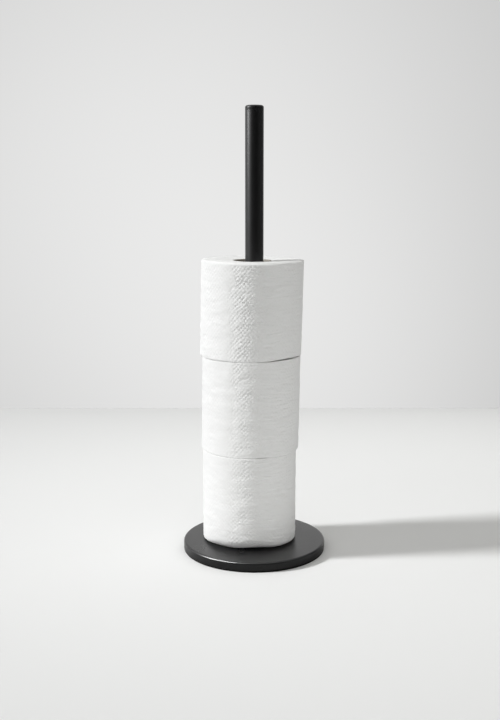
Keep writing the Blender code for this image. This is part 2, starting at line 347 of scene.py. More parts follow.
def soft_lamp(name, turn, distance, height, size, power, aim, length=None):
    """An area lamp on the left, round or a strip, that faces a point on the pole's axis."""
    data = bpy.data.lights.new(name, "AREA")
    data.shape = "RECTANGLE" if length else "DISK"
    data.size = length or size
    data.size_y = size
    data.energy = power
    data.color = LAMP_COLOR
    made = bpy.data.objects.new(name, data)
    made.location = (-distance * math.cos(turn), -distance * math.sin(turn), height)
    made.rotation_mode = "QUATERNION"
    made.rotation_quaternion = (Vector((0, 0, aim)) - made.location).to_track_quat("-Z", "Y")
    hide_from(made, "camera")
    scene.collection.objects.link(made)
    return made


soft_lamp("key_lamp", **KEY)
glint = soft_lamp("glint_lamp", **GLINT)
strip = soft_lamp("strip_lamp", **STRIP, length=STRIP_LENGTH)
hide_from(glint, "diffuse")
hide_from(strip, "diffuse")
lit_by_strip = bpy.data.collections.new("lit_by_strip")
strip.light_linking.receiver_collection = lit_by_strip
print(f"key lamp {KEY['size']} m across, {KEY['distance']} m to the left and {KEY['height']} m up")

# %% [markdown]
# Photographers stand dark cards round a glossy black thing, because it shows nothing but what is round
# it. A black card in front and a grey one to the right keep the middle and the right side of the pole
# dark. Only reflections see them, so they take no light from the rolls.

# %% Cards for the reflections
CARD_DISTANCE = 1.6
CARD_HALF_WIDTH = 1.9
CARD_HEIGHT = 2.0
BLACK_CARD_COLOR = (0.004, 0.004, 0.004, 1)
GREY_CARD_COLOR = (0.25, 0.25, 0.25, 1)

near, side, high = -CARD_DISTANCE, CARD_HALF_WIDTH, CARD_HEIGHT
front_corners = [(side, near, 0), (-side, near, 0), (-side, near, high), (side, near, high)]
side_corners = [(side, side, 0), (side, near, 0), (side, near, high), (side, side, high)]
cards = [
    flat_sheet("front_card", front_corners, room_material("black_card", BLACK_CARD_COLOR)),
    flat_sheet("side_card", side_corners, room_material("grey_card_stage", GREY_CARD_COLOR)),
]
for card in cards:
    hide_from(card, "camera", "diffuse", "shadow", "transmission")
print("cards:", len(cards))

# %% [markdown]
# ## Finishes
#
# A photograph wrapped round a piece would look right from one side only. So each finish is a Principled
# shader with what a real surface has: not one number for its gloss but a range, a fine relief, and a
# colour that is never quite even. Object coordinates are in metres here, so that a noise node's size can
# be written as a real size.

# %% Helpers for finishes
NOISE_RANGE = (0.3, 0.7)  # soft noise seldom leaves it


def start_finish(name, color, roughness, metallic=0.0):
    """A material, its tree, its shader and the Object coordinates that patterns read."""
    material = bpy.data.materials.new(name)
    material.use_nodes = True
    tree = material.node_tree
    shader = tree.nodes["Principled BSDF"]
    shader.inputs["Base Color"].default_value = (*color, 1)
    shader.inputs["Roughness"].default_value = roughness
    shader.inputs["Metallic"].default_value = metallic
    place = add_node(tree, "ShaderNodeTexCoord").outputs["Object"]
    return material, tree, shader, place


def vary_color(tree, shader, factor, low_color, high_color):
    """Colours the surface between two colours, by a factor from 0 to 1."""
    ramp = add_node(tree, "ShaderNodeValToRGB", {"Fac": factor})
    for element, color in zip(ramp.color_ramp.elements, (low_color, high_color)):
        element.color = (*color, 1)
    tree.links.new(ramp.outputs["Color"], shader.inputs["Base Color"])


def vary_roughness(tree, shader, factor, low, high):
    tree.links.new(remap(tree, factor, *NOISE_RANGE, low, high), shader.inputs["Roughness"])


def add_relief(tree, shader, height, depth, before=None):
    """A bump from a height of 0 to 1 that stands for the given depth in metres."""
    inputs = {"Height": height, "Distance": depth, "Strength": 1.0}
    if before is not None:
        inputs["Normal"] = before
    relief = add_node(tree, "ShaderNodeBump", inputs).outputs["Normal"]
    tree.links.new(relief, shader.inputs["Normal"])
    return relief


print("finish helpers ready")

# %% [markdown]
# The base and the pole have a satin black powder coating. Powder melts into a skin with a very fine
# orange peel, and its gloss drifts a little. One even gloss would look like plastic, so both are drawn.
# On the flat base the powder flows out better than on the thin tube, so the same coating comes out
# glossier there.

# %% Satin black coating
ORANGE_PEEL_SIZE = 0.0007
ORANGE_PEEL_DEPTH = 0.000004
GLOSS_DRIFT_SIZE = 0.02
FLOWED_OUT_IOR = 1.62


def black_coating(name, low_roughness, high_roughness):
    material, tree, shader, place = start_finish(name, (0.003, 0.003, 0.0034), low_roughness)
    drift = noise(tree, place, GLOSS_DRIFT_SIZE)
    vary_roughness(tree, shader, drift, low_roughness, high_roughness)
    vary_color(tree, shader, drift, (0.0022, 0.0022, 0.0025), (0.0040, 0.0040, 0.0044))
    add_relief(tree, shader, noise(tree, place, ORANGE_PEEL_SIZE), ORANGE_PEEL_DEPTH)
    return material


pole_coating = black_coating("satin_black_coating", low_roughness=0.38, high_roughness=0.42)
base_coating = black_coating("satin_black_coating_on_base", low_roughness=0.27, high_roughness=0.31)
base_coating.node_tree.nodes["Principled BSDF"].inputs["IOR"].default_value = FLOWED_OUT_IOR
print("coatings ready")

# %% [markdown]
# Under the base there are three more finishes: the cast iron of the weight with its sandy skin and
# thin black paint, the zinc plating of the screw, washer and insert, and closed-cell foam, whose cells
# are the cells of a Voronoi pattern.

# %% Iron, zinc plating and foam
iron, tree, shader, place = start_finish("painted_iron", (0.035, 0.035, 0.036), 0.6)
sand = noise(tree, place, size=0.0012, detail=4.0)
vary_color(tree, shader, sand, (0.022, 0.022, 0.023), (0.055, 0.054, 0.052))
vary_roughness(tree, shader, noise(tree, place, size=0.006), 0.5, 0.72)
add_relief(tree, shader, sand, depth=0.00012)

zinc, tree, shader, place = start_finish("zinc_plating", (0.60, 0.62, 0.64), 0.34, metallic=1.0)
cloud = noise(tree, place, size=0.003, detail=3.0)
vary_color(tree, shader, cloud, (0.52, 0.54, 0.57), (0.68, 0.69, 0.69))
vary_roughness(tree, shader, cloud, 0.26, 0.45)
add_relief(tree, shader, noise(tree, place, size=0.0004, detail=3.0), depth=0.000006)

FOAM_CELL = 0.0006
foam, tree, shader, place = start_finish("black_foam", (0.018, 0.018, 0.019), 0.9)
cells = {"Vector": place, "Scale": 1 / FOAM_CELL}
cells = add_node(tree, "ShaderNodeTexVoronoi", cells).outputs["Distance"]
vary_color(tree, shader, cells, (0.010, 0.010, 0.011), (0.034, 0.034, 0.036))
vary_roughness(tree, shader, noise(tree, place, size=0.004), 0.82, 0.96)
add_relief(tree, shader, cells, depth=0.00015)
print("iron, zinc and foam ready")

# %% [markdown]
# ## Turned pieces
#
# Nearly all of the stand is turned or spun round one axis. A Screw modifier could do that, but the rolls
# need columns that can be bent, so one function makes the grid of faces for both. A profile of (distance
# from the axis, height) points is carried round in equal steps and joined up with quads. It runs down
# its outer side, which makes the faces point outwards. Edges are arcs of many short steps, because a
# small rounding is what catches the lamp.

# %% Profiles and grids of faces


def arc(center, height, radius, start, end, steps=8):
    """Points of a rounded edge. 0 degrees points away from the axis and 90 degrees up."""
    angles = np.radians(np.linspace(start, end, steps + 1))
    return list(zip(center + radius * np.cos(angles), height + radius * np.sin(angles)))


def grid_quads(columns, rows, wrap_columns, wrap_rows):
    """Faces of a table of points that lies column after column, with the ends joined if asked."""
    column = np.arange(columns if wrap_columns else columns - 1)[:, None]
    row = np.arange(rows if wrap_rows else rows - 1)[None, :]
    next_column, next_row = (column + 1) % columns, (row + 1) % rows
    corners = (
        column * rows + row,
        column * rows + next_row,
        next_column * rows + next_row,
        next_column * rows + row,
    )
    return np.stack([np.broadcast_to(c, (column.size, row.size)).ravel() for c in corners], 1)


print("a rounded edge has", len(arc(0, 0, 1, 0, 90)), "points")

# %% [markdown]
# A piece is smooth apart from its sharp edges. Where a profile touches the axis, all its points there
# fall together, so they are welded into one. A finished piece then rides on its body, and stands for the
# imported nodes that it replaces.

# %% Turned meshes
SHARP_DEGREES = 35
ROUND_SIDES = 128
WELD_DISTANCE = 1e-6


def new_piece(name, points, faces, material, sharp_degrees=SHARP_DEGREES):
    mesh = bpy.data.meshes.new(name)
    mesh.from_pydata(points, [], faces)
    mesh.materials.append(material)
    mesh.shade_smooth()
    mesh.set_sharp_from_angle(angle=math.radians(sharp_degrees))
    made = bpy.data.objects.new(name, mesh)
    scene.collection.objects.link(made)
    return made


def weld(piece):
    """Joins points that lie on each other, and turns all faces outwards."""
    joined = bmesh.new()
    joined.from_mesh(piece.data)
    bmesh.ops.remove_doubles(joined, verts=joined.verts, dist=WELD_DISTANCE)
    bmesh.ops.recalc_face_normals(joined, faces=joined.faces)
    joined.to_mesh(piece.data)
    joined.free()


def turned(name, profile, sides, material, ring=True, axis=(0.0, 0.0)):
    """A piece turned about an upright axis. A ring's profile closes on itself."""
    profile = np.array(profile, float)
    angles = np.linspace(0, 2 * np.pi, sides, endpoint=False)
    across, height = profile[:, 0][None, :], profile[:, 1][None, :]
    x = axis[0] + across * np.cos(angles)[:, None]
    y = axis[1] + across * np.sin(angles)[:, None]
    z = np.broadcast_to(height, x.shape)
    points = np.stack([x, y, z], -1).reshape(-1, 3)
    made = new_piece(name, points, grid_quads(sides, len(profile), True, ring).tolist(), material)
    if not ring:
        weld(made)
    return made


def dress(piece, body, slot, *nodes):
    """Puts a finished piece on its body and lets it stand for its nodes. Its slot is not used."""
    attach(piece, body)
    if nodes:
        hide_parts(*nodes)
    piece.data.calc_loop_triangles()
    print(f"{piece.name}: {len(piece.data.loop_triangles)} triangles on {body}")


print("turning helpers ready")

# %% [markdown]
# The base is a shallow dish of pressed steel, turned upside down over an iron weight. Its shoulder is
# a small even radius, and its foot is curled in under the weight, which holds the two together. A plain
# disc would do from above, but the open hole, the wall and the curled lip show in the finished mesh. The
# sizes that the frame can give are read from it, and the sheet's own sizes are named here.

# %% Base cover
COVER_WALL = 0.0012
COVER_SHOULDER = 0.0022
COVER_FOOT = 0.0013
COVER_LIP = 0.0030
COVER_HOLE = 0.0060
COVER_SIDES = 192
# Steps of a rounding that shows, of one that is hidden, and of a small one
SHOULDER_STEPS = 14
HIDDEN_STEPS = 6
EDGE_STEPS = 4

cover_low, cover_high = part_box("base_cover")
base_radius = cover_high.x
base_top = cover_high.z
cover_foot = cover_low.z


def cover_profile():
    shoulder = base_radius - COVER_SHOULDER
    shoulder_height = base_top - COVER_SHOULDER
    lip_end = base_radius - COVER_LIP
    inside = COVER_SHOULDER - COVER_WALL
    edge = COVER_WALL / 2
    profile = arc(COVER_HOLE + edge, base_top - edge, edge, 180, 90, EDGE_STEPS)
    profile += arc(shoulder, shoulder_height, COVER_SHOULDER, 90, 0, SHOULDER_STEPS)
    profile += arc(base_radius - COVER_FOOT, cover_foot + COVER_FOOT, COVER_FOOT, 0, -90)
    profile += arc(lip_end + edge, cover_foot + edge, edge, -90, -270, HIDDEN_STEPS)
    profile += [(base_radius - COVER_WALL, cover_foot + COVER_WALL)]
    profile += arc(shoulder, shoulder_height, inside, 0, 90, HIDDEN_STEPS)
    profile += [(COVER_HOLE, base_top - COVER_WALL)]
    return profile


cover = turned("base_cover_shell", cover_profile(), COVER_SIDES, base_coating)
lit_by_strip.objects.link(cover)
dress(cover, "stand", "coating", "base_cover")

# %% [markdown]
# The weight fills the dish. A recess in its underside takes the washer and the screw's head, so that
# nothing scratches the floor, and a foam ring keeps the base from sliding. All three are rings, so one
# function with four rounded edges makes the section of two of them.

# %% Weight, foam ring and washer
EDGE_ROUNDING = 0.0004
SCREW_RADIUS = 0.0030
HOLE_ROOM = 0.0003
RECESS_RADIUS = 0.0100
PAD_HOLE_RADIUS = 0.0140
WEIGHT_CHAMFER = 0.0012
WASHER_SIDES = 64

weight_low, weight_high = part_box("base_weight")
pad_low, pad_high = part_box("base_pad")
washer_low, washer_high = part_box("clamp_washer")
screw_bore = SCREW_RADIUS + HOLE_ROOM
recess_top = washer_high.z + HOLE_ROOM
weight_edge = weight_high.x - WEIGHT_CHAMFER
recess_edge = RECESS_RADIUS + EDGE_ROUNDING


def ring_profile(inner, outer, low, high, rounding):
    """The section of a flat ring with four rounded edges."""
    left, right, foot, top = inner + rounding, outer - rounding, low + rounding, high - rounding
    profile = []
    for across, height, start in ((left, top, 180), (right, top, 90), (right, foot, 0), (left, foot, -90)):
        profile += arc(across, height, rounding, start, start - 90, EDGE_STEPS)
    return profile


weight_profile = [(screw_bore, weight_high.z)]
weight_profile += arc(weight_edge, weight_high.z - WEIGHT_CHAMFER, WEIGHT_CHAMFER, 90, 0)
weight_profile += arc(weight_edge, weight_low.z + WEIGHT_CHAMFER, WEIGHT_CHAMFER, 0, -90)
weight_profile += arc(recess_edge, weight_low.z + EDGE_ROUNDING, EDGE_ROUNDING, -90, -180, EDGE_STEPS)
weight_profile += [(RECESS_RADIUS, recess_top), (screw_bore, recess_top)]
dress(turned("iron_weight", weight_profile, ROUND_SIDES, iron), "stand", "iron", "base_weight")

pad_profile = ring_profile(PAD_HOLE_RADIUS, pad_high.x, pad_low.z, pad_high.z, EDGE_ROUNDING)
dress(turned("foam_ring", pad_profile, ROUND_SIDES, foam), "stand", "pad_rubber", "base_pad")

washer_profile = ring_profile(screw_bore, washer_high.x, washer_low.z, washer_high.z, HOLE_ROOM)
dress(turned("steel_washer", washer_profile, WASHER_SIDES, zinc), "stand", "zinc_steel", "clamp_washer")

# %% [markdown]
# The pole is a tube with a plug in its foot and a cap on its top. The cap's edge is rounded. Where it
# meets the tube there is a hairline that shows only close up: a drawn line would be the wrong width from
# near by, so the tube is drawn up to the cap, and the seam between their two small roundings is real.

# %% Pole: tube, cap and insert
TUBE_WALL = 0.0010
SEAM_GAP = 0.00008
SEAM_ROUNDING = 0.00015
CAP_ROUNDING = 0.0022
CAP_BAND = 0.0046
CAP_PLUG_WALL = 0.0018
INSERT_CHAMFER = 0.0010
INSERT_SIDES = 96

tube_low, tube_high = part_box("pole_tube")
cap_low, cap_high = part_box("pole_cap")
insert_low, insert_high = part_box("pole_insert")
pole_radius = tube_high.x
tube_bore = pole_radius - TUBE_WALL
cap_seam = cap_high.z - CAP_BAND
plug_radius = tube_bore - HOLE_ROOM

tube_profile = ring_profile(tube_bore, pole_radius, tube_low.z, cap_seam - SEAM_GAP, SEAM_ROUNDING)
dress(turned("pole", tube_profile, ROUND_SIDES, pole_coating), "stand", "coating", "pole_tube")

cap_profile = [(0, cap_high.z)]
cap_profile += arc(pole_radius - CAP_ROUNDING, cap_high.z - CAP_ROUNDING, CAP_ROUNDING, 90, 0, SHOULDER_STEPS)
cap_profile += arc(pole_radius - SEAM_ROUNDING, cap_seam + SEAM_ROUNDING, SEAM_ROUNDING, 0, -90, EDGE_STEPS)
cap_profile += [(plug_radius, cap_seam), (plug_radius, cap_low.z + INSERT_CHAMFER)]
cap_profile += [(plug_radius - INSERT_CHAMFER, cap_low.z), (plug_radius - CAP_PLUG_WALL, cap_low.z)]
cap_profile += [(plug_radius - CAP_PLUG_WALL, cap_seam), (0, cap_seam)]
cap = turned("pole_end_cap", cap_profile, ROUND_SIDES, pole_coating, ring=False)
dress(cap, "stand", "coating", "pole_cap")

spigot = COVER_HOLE - HOLE_ROOM
insert_profile = [(screw_bore, insert_high.z), (plug_radius - INSERT_CHAMFER, insert_high.z)]
insert_profile += [(plug_radius, insert_high.z - INSERT_CHAMFER), (plug_radius, tube_low.z)]
insert_profile += [(spigot, tube_low.z), (spigot, insert_low.z), (screw_bore, insert_low.z)]
dress(turned("foot_insert", insert_profile, INSERT_SIDES, zinc), "stand", "zinc_steel", "pole_insert")

# %% [markdown]
# ## Geometry Nodes for what follows a rule
#
# Threads, wound layers and pressed dots all follow a rule. A bump in a material could draw them, but
# would be missing in the mesh, so Geometry Nodes move the points themselves. The same small helpers
# build every tree, and its result becomes a plain mesh.


# %% Helpers for Geometry Nodes
def new_tree(name, sizes):
    """A geometry tree with named inputs for its sizes, a seed and a material."""
    tree = bpy.data.node_groups.new(name, "GeometryNodeTree")
    tree.is_modifier = True
    sockets = [("Geometry", "Geometry"), *((size, "Float") for size in (*sizes, "Seed"))]
    for socket, kind in (*sockets, ("Material", "Material")):
        tree.interface.new_socket(socket, in_out="INPUT", socket_type="NodeSocket" + kind)
    tree.interface.new_socket("Geometry", in_out="OUTPUT", socket_type="NodeSocketGeometry")
    return tree, tree.nodes.new("NodeGroupInput").outputs


def end_tree(tree, geometry, given):
    """The tree's last steps: real geometry, and its material."""
    real = add_node(tree, "GeometryNodeRealizeInstances", {0: geometry}).outputs[0]
    inputs = {"Geometry": real, "Material": given["Material"]}
    colored = add_node(tree, "GeometryNodeSetMaterial", inputs).outputs[0]
    tree.links.new(colored, tree.nodes.new("NodeGroupOutput").inputs["Geometry"])


def stored(tree, name):
    """The value that each point carries under a name."""
    return add_node(tree, "GeometryNodeInputNamedAttribute", {"Name": name}).outputs["Attribute"]


def push(tree, geometry, offset_length, direction=None):
    """Moves each point along its normal, or along a direction, by its own length."""
    if direction is None:
        direction = add_node(tree, "GeometryNodeInputNormal").outputs["Normal"]
    offset = vector_calc(tree, "SCALE", direction, Scale=offset_length)
    return add_node(tree, "GeometryNodeSetPosition", {"Geometry": geometry, "Offset": offset}).outputs[0]


def run_tree(piece, tree, values):
    """Runs a tree on a piece with the given inputs and keeps the result as its plain mesh."""
    modifier = piece.modifiers.new(tree.name, "NODES")
    modifier.node_group = tree
    for item in tree.interface.items_tree:
        if item.in_out == "INPUT" and item.name in values:
            modifier[item.identifier] = values[item.name]
    keep_result(piece)


def keep_result(piece):
    """Makes the evaluated mesh the piece's own and takes its modifiers off."""
    seen = piece.evaluated_get(bpy.context.evaluated_depsgraph_get())
    mesh = bpy.data.meshes.new_from_object(seen)
    piece.modifiers.clear()
    piece.data = mesh
    mesh.name = piece.name


def store(piece, name, values):
    """Gives each point of a piece a value under a name."""
    attribute = piece.data.attributes.new(name, "FLOAT", "POINT")
    attribute.data.foreach_set("value", np.asarray(values, np.float32).ravel())


print("geometry helpers ready")

# %% [markdown]
# A screw's thread and the seam of a card tube are the same thing at two scales: a groove that climbs
# round an axis. One tree cuts both. It reads how far a point is from the helix, by its height and its
# angle, and pushes it in along its normal. Only points that carry the attribute `grooved` take part.


# %% A helical groove
def make_helix_tree():
    """Cuts a V-shaped groove that climbs one lead in a turn."""
    tree, given = new_tree("helical_groove", ("Axis X", "Axis Y", "Lead", "Width", "Depth"))
    parts = split(tree, add_node(tree, "GeometryNodeInputPosition").outputs[0])
    x = calc(tree, "SUBTRACT", parts["X"], given["Axis X"])
    y = calc(tree, "SUBTRACT", parts["Y"], given["Axis Y"])
    turns = calc(tree, "DIVIDE", ("ARCTAN2", y, x), 2 * math.pi)
    climb = calc(tree, "DIVIDE", parts["Z"], given["Lead"])
    phase = calc(tree, "ADD", ("SUBTRACT", climb, turns), given["Seed"])
    aside = calc(tree, "ABSOLUTE", ("SUBTRACT", ("FRACT", phase), 0.5))
    distance = calc(tree, "MULTIPLY", aside, given["Lead"])
    reach = calc(tree, "DIVIDE", distance, ("MULTIPLY", given["Width"], 0.5))
    inside = calc(tree, "MAXIMUM", ("SUBTRACT", 1.0, reach), 0.0)
    depth = calc(tree, "MULTIPLY", ("MULTIPLY", inside, given["Depth"]), stored(tree, "grooved"))
    end_tree(tree, push(tree, given["Geometry"], calc(tree, "MULTIPLY", depth, -1.0)), given)
    return tree


helix_tree = make_helix_tree()
print("helical groove tree:", len(helix_tree.nodes), "nodes")

# %% [markdown]
# The screw that holds the stand together comes up from below. Its shank has the groove cut at a lead
# of one millimetre, as an M6 thread has. Six rows of points to each lead are enough for the groove's V.
# The hexagon in its button head has flat sides on a round piece, so it is taken out with a Boolean.

# %% Clamp screw
THREAD_LEAD = 0.0010
THREAD_DEPTH = 0.0006
THREAD_STEPS = 6
SCREW_SIDES = 48
SCREW_HEAD_RADIUS = 0.00525
SCREW_HEAD_HEIGHT = 0.0033
SCREW_HEAD_STEPS = 8
SCREW_FACE_RADIUS = 0.0032
SCREW_TIP_CHAMFER = 0.0008
SOCKET_WIDTH = 0.0040
SOCKET_DEPTH = 0.0021
CUTTER_OVERRUN = 0.001

screw_low, screw_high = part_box("clamp_screw")


def make_screw():
    seat = screw_low.z + SCREW_HEAD_HEIGHT
    shank_top = screw_high.z - SCREW_TIP_CHAMFER
    rows = round((shank_top - seat) / THREAD_LEAD * THREAD_STEPS)
    profile = [(0, screw_high.z), (SCREW_RADIUS - SCREW_TIP_CHAMFER, screw_high.z)]
    profile += [(SCREW_RADIUS, z) for z in np.linspace(shank_top, seat, rows)]
    angles = np.radians(np.linspace(0, 90, SCREW_HEAD_STEPS + 1))
    across = SCREW_FACE_RADIUS + (SCREW_HEAD_RADIUS - SCREW_FACE_RADIUS) * np.cos(angles)
    profile += list(zip(across, seat - SCREW_HEAD_HEIGHT * np.sin(angles)))
    profile += [(0, screw_low.z)]
    screw = turned("clamp_screw_m6", profile, SCREW_SIDES, zinc, ring=False)
    points = np.array([v.co for v in screw.data.vertices])
    radius = np.hypot(points[:, 0], points[:, 1])
    on_thread = (points[:, 2] > seat + THREAD_LEAD) & (radius > SCREW_RADIUS - SCREW_TIP_CHAMFER / 2)
    store(screw, "grooved", on_thread)
    sizes = {"Lead": THREAD_LEAD, "Width": THREAD_LEAD, "Depth": THREAD_DEPTH, "Seed": 0.0}
    run_tree(screw, helix_tree, {**sizes, "Axis X": 0.0, "Axis Y": 0.0, "Material": zinc})
    return screw


def cut_hexagon(screw):
    prism = bmesh.new()
    radius = SOCKET_WIDTH / 2 / math.cos(math.radians(30))
    depth = SOCKET_DEPTH + CUTTER_OVERRUN
    bmesh.ops.create_cone(prism, cap_ends=True, segments=6, radius1=radius, radius2=radius, depth=depth)
    middle = screw_low.z + (SOCKET_DEPTH - CUTTER_OVERRUN) / 2
    bmesh.ops.translate(prism, verts=prism.verts, vec=(0, 0, middle))
    mesh = bpy.data.meshes.new("hexagon")
    prism.to_mesh(mesh)
    prism.free()
    cutter = bpy.data.objects.new("hexagon", mesh)
    scene.collection.objects.link(cutter)
    screw.modifiers.new("Hexagon", "BOOLEAN").object = cutter
    keep_result(screw)
    bpy.data.objects.remove(cutter)


screw = make_screw()
cut_hexagon(screw)
screw.data.set_sharp_from_angle(angle=math.radians(SHARP_DEGREES))
dress(screw, "stand", "zinc_steel", "clamp_screw")

# %% [markdown]
# ## The rolls
#
# A toilet roll is one long strip of tissue on a card core. Three things make it look like one: the
# pattern pressed into the strip, the edges of the strip that show on the two ends, and its softness,
# which rounds the foot, lets it slip and creases it. Three copies of one roll would look stamped, so
# each roll has its own numbers. Its place comes from the frame: the core gives the roll's axis, and the
# paper gives its radius.

# %% What the three rolls share, and where each one hangs
MM = 0.001
SHEET_STEP = 0.0006  # how much the outer sheet's spiral grows in one turn
FREE_EDGE = math.radians(90)


class Roll:
    """One roll's axis, heights and radii, read from the frame, with its own softness."""

    def __init__(self, name, slip, tilt_degrees, dish, dot_depth, seed):
        core_low, core_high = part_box(name + "_core")
        paper_low, paper_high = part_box(name + "_paper")
        self.name = name
        self.winding = name.replace("roll", "winding")
        self.x = (core_low.x + core_high.x) / 2
        self.y = (core_low.y + core_high.y) / 2
        self.foot = core_low.z
        self.top = core_high.z
        self.core_radius = (core_high.x - core_low.x) / 2
        # The spiral adds a whole step at the back, where the sheet ends, and half a step in front.
        self.radius = (paper_high.y - paper_low.y - 1.5 * SHEET_STEP) / 2
        self.around = 2 * math.pi * self.radius
        self.slip = slip
        self.tilt = math.tan(math.radians(tilt_degrees))
        self.dish = dish
        self.dot_depth = dot_depth
        self.seed = seed


# How far the foot slips to the left, how far the top leans and sinks towards the core, and how deep
# the dots are pressed
rolls = [
    Roll("bottom_roll", slip=0.0, tilt_degrees=0.0, dish=0.0, dot_depth=0.0005, seed=3.0),
    Roll("middle_roll", slip=0.0014, tilt_degrees=0.0, dish=0.0, dot_depth=0.0006, seed=7.0),
    Roll("top_roll", slip=0.0022, tilt_degrees=0.65, dish=0.0014, dot_depth=0.0009, seed=12.0),
]
for roll in rolls:
    print(f"{roll.name}: radius {roll.radius / MM:.1f} mm, axis at {roll.x / MM:.1f}, {roll.y / MM:.1f} mm")

# %% [markdown]
# Card cores are wound from strips of grey board at a slant, which leaves a fine spiral seam inside.
# The helix tree presses that seam in, at a lead of several centimetres. Only the inner wall needs the
# many rows of points that the seam takes.

# %% Card cores
CORE_WALL = 0.0006
CORE_SEAM_LEAD = 0.070
CORE_SEAM_WIDTH = 0.0022
CORE_SEAM_DEPTH = 0.00022
CORE_ROW = 0.0010
CORE_SIDES = 96
CORE_EDGE_STEPS = 3

card, tree, shader, place = start_finish("grey_card", (0.52, 0.49, 0.44), 0.9)
pulp = noise(tree, place, size=0.0022, detail=6.0)
vary_color(tree, shader, pulp, (0.33, 0.30, 0.26), (0.50, 0.465, 0.42))
vary_roughness(tree, shader, pulp, 0.85, 0.97)
add_relief(tree, shader, noise(tree, place, size=0.0005, detail=4.0), depth=0.00004)


def make_core(roll):
    inner = roll.core_radius - CORE_WALL
    top = roll.top - roll.dish
    rounding = CORE_WALL / 3
    rows = round((top - roll.foot) / CORE_ROW)
    inner_wall = [(inner, z) for z in np.linspace(roll.foot + rounding, top - rounding, rows)]
    profile = arc(roll.core_radius - rounding, top - rounding, rounding, 90, 0, CORE_EDGE_STEPS)
    profile += arc(roll.core_radius - rounding, roll.foot + rounding, rounding, 0, -90, CORE_EDGE_STEPS)
    profile += arc(inner + rounding, roll.foot + rounding, rounding, -90, -180, CORE_EDGE_STEPS)[:-1]
    profile += inner_wall
    profile += arc(inner + rounding, top - rounding, rounding, 180, 90, CORE_EDGE_STEPS)[1:]
    core = turned(roll.name + "_card_core", profile, CORE_SIDES, card, axis=(roll.x, roll.y))
    points = np.array([v.co for v in core.data.vertices])
    radius = np.hypot(points[:, 0] - roll.x, points[:, 1] - roll.y)
    store(core, "grooved", radius < inner + rounding / 2)
    sizes = {"Lead": CORE_SEAM_LEAD, "Width": CORE_SEAM_WIDTH, "Depth": CORE_SEAM_DEPTH}
    axis = {"Axis X": roll.x, "Axis Y": roll.y}
    run_tree(core, helix_tree, {**sizes, **axis, "Seed": roll.seed, "Material": card})
    return core


for roll in rolls:
    dress(make_core(roll), roll.name, "card", roll.name + "_core")

# %% [markdown]
# ### The shape that a soft roll takes
#
# Paper gives way. The foot of the bottom roll, which carries the others, is rounded most, at its front
# and front left. The top roll's rim is rounded too, its top is dished, and its foot has been pushed up
# at the front right. All of this could be sculpted, but then nothing would fit anything else. So each
# foot's rounding is a radius that changes with the angle round the roll, and a formula does the rest.

# %% Rounded feet
# The radius of each foot's rounding in millimetres, at angles round the roll. The front is at 270.
FOOT_ROUNDINGS = {
    "bottom_roll": (
        (0, 180, 206, 219, 230, 248, 264, 286, 304, 320, 340),
        (3, 3, 4, 8, 9, 10, 14, 15, 7, 5, 3),
    ),
    "middle_roll": ((0, 180), (0.2, 0.2)),
    "top_roll": ((0, 282, 300, 325, 345), (0.2, 0.2, 2.4, 3.0, 1.2)),
}
FOOT_BLEND = (-8, -4, 0, 4, 8)  # the radius is averaged over these degrees, which smooths it
HALF_ARC = 1 - math.sqrt(0.5)  # the share of its radius that half of a rounded corner takes, both ways
FARTHEST_OUT = 1.1  # in radii of the rounding: the lifted end of the sheet lies outside the roll


def foot_rounding(roll, radius, angle, share):
    """How far a point moves up and inwards, where the foot's corner is rounded."""
    angles, sizes = FOOT_ROUNDINGS[roll.name]
    turned_by = [np.interp(np.degrees(angle) + shift, angles, sizes, period=360) for shift in FOOT_BLEND]
    size = np.mean(turned_by, axis=0) * MM
    out = np.clip((radius - (roll.radius - size)) / size, 0, FARTHEST_OUT)
    up = size * (1 - np.sqrt(1 - (out - HALF_ARC * out**2) ** 2))
    above = share * (roll.top - roll.foot) / (size * (1 - HALF_ARC))
    inwards = size * HALF_ARC * out**2 * np.clip(1 - above, 0, 1) ** 2
    return up, inwards


print("largest foot rounding:", max(FOOT_ROUNDINGS["bottom_roll"][1]), "mm")

# %% [markdown]
# Every point of a roll is given by its distance from the axis, its angle, and its share of the height.
# One function turns these into a place, and bends the roll as it goes. A lattice could bend it
# afterwards, but would have to be very fine to round a rim a few millimetres wide. The paper and its
# outer sheet both use the function, so they always fit each other.

# %% Placing a point of a roll
TOP_ROUNDING_WIDTH = 0.0045
# How far each top's rim is rounded down in millimetres, at angles round the roll
TOP_ROUNDINGS = {
    "bottom_roll": ((0, 180), (0.05, 0.05)),
    "middle_roll": ((0, 180), (0.05, 0.05)),
    "top_roll": ((0, 60, 150, 200, 245, 290, 330), (0.6, 1.1, 1.1, 0.7, 1.7, 1.9, 0.9)),
}
DISH_POWER = 1.5
# Where the foot of each roll is pushed up: (middle angle, half width, height)
FOOT_LIFTS = {
    "bottom_roll": [(234, 32, 0.0011)],
    "middle_roll": [(284, 14, 0.0005)],
    "top_roll": [(316, 30, 0.0011)],
}
LIFT_WIDTH = 0.009
FOOT_HANG = 0.0002  # a roll's outer layers hang down into the gap below it


def window(angle, middle, half_width):
    """1 at the middle angle, falling smoothly to 0 at half_width on either side, all in degrees."""
    aside = (np.degrees(angle) - middle + 180) % 360 - 180
    return np.cos(np.clip(aside / half_width, -1, 1) * np.pi / 2) ** 2


